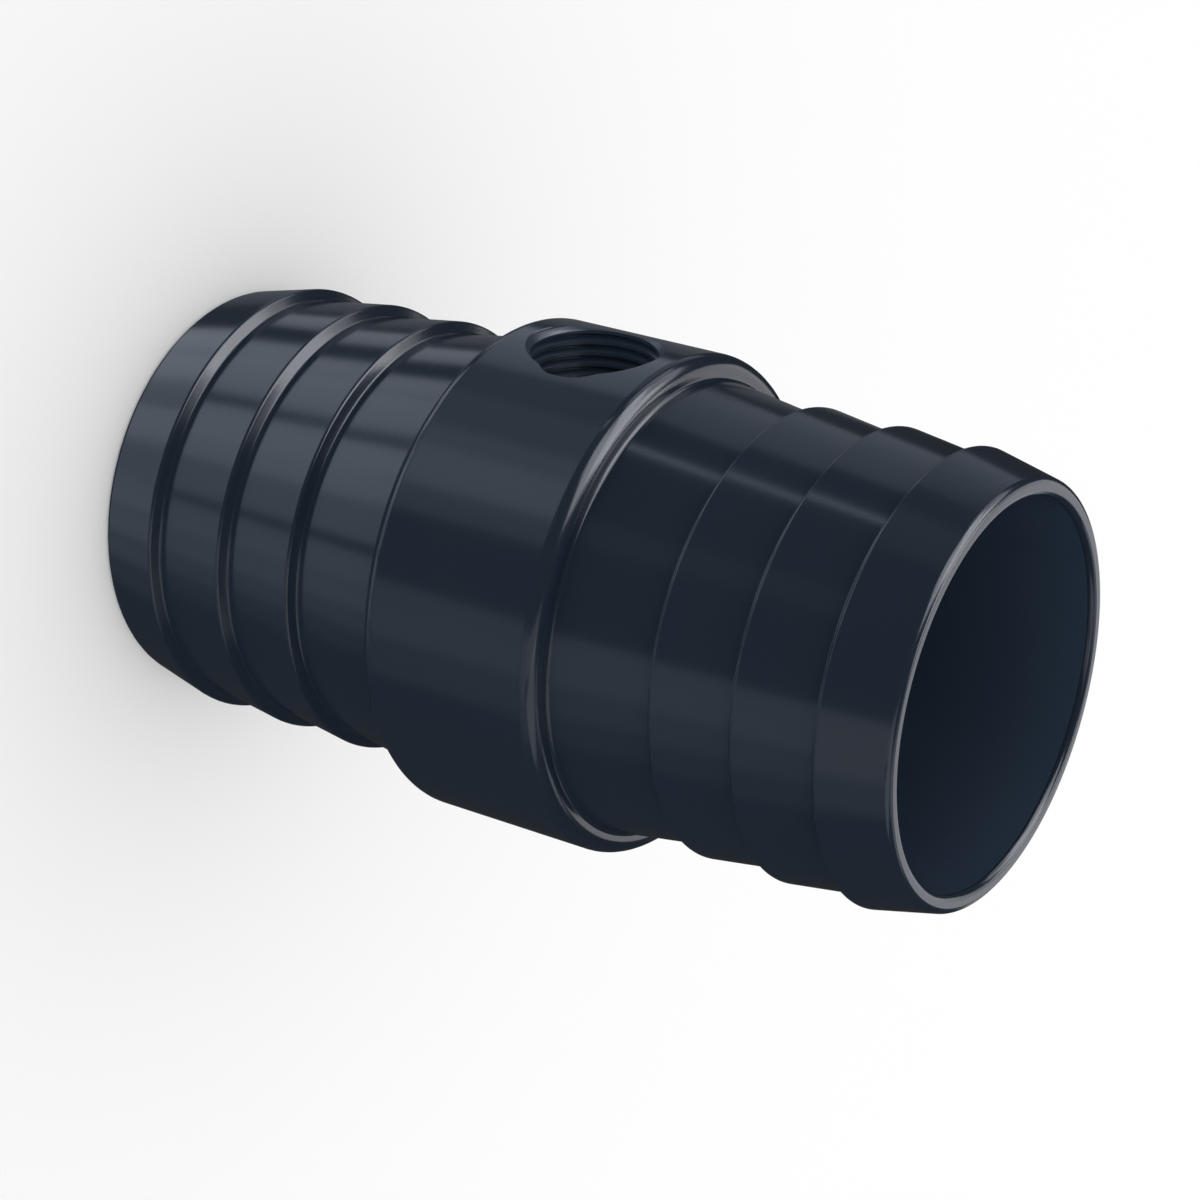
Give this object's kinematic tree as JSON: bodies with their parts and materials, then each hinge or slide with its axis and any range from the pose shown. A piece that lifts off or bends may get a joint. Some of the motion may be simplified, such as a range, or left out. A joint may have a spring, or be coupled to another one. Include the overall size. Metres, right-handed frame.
{
  "type": "radiator hose adapter",
  "caption": "Straight tubular hose adapter with sawtooth barbs at each end, a thicker round collar in the middle and a tapped sensor port through the collar's wall.",
  "frame": {"origin": "on the tube's axis, at the face of the lower tip that the adapter stands on", "axes": "+Z along the tube's axis from tip to tip, -Y out of the tapped port"},
  "size_m": [0.0442, 0.0442, 0.08],
  "materials": {
    "body": "black anodised with a blue cast, satin gloss"
  },
  "bodies": {
    "root": {"adapter_body": "body"}
  },
  "joints": []
}
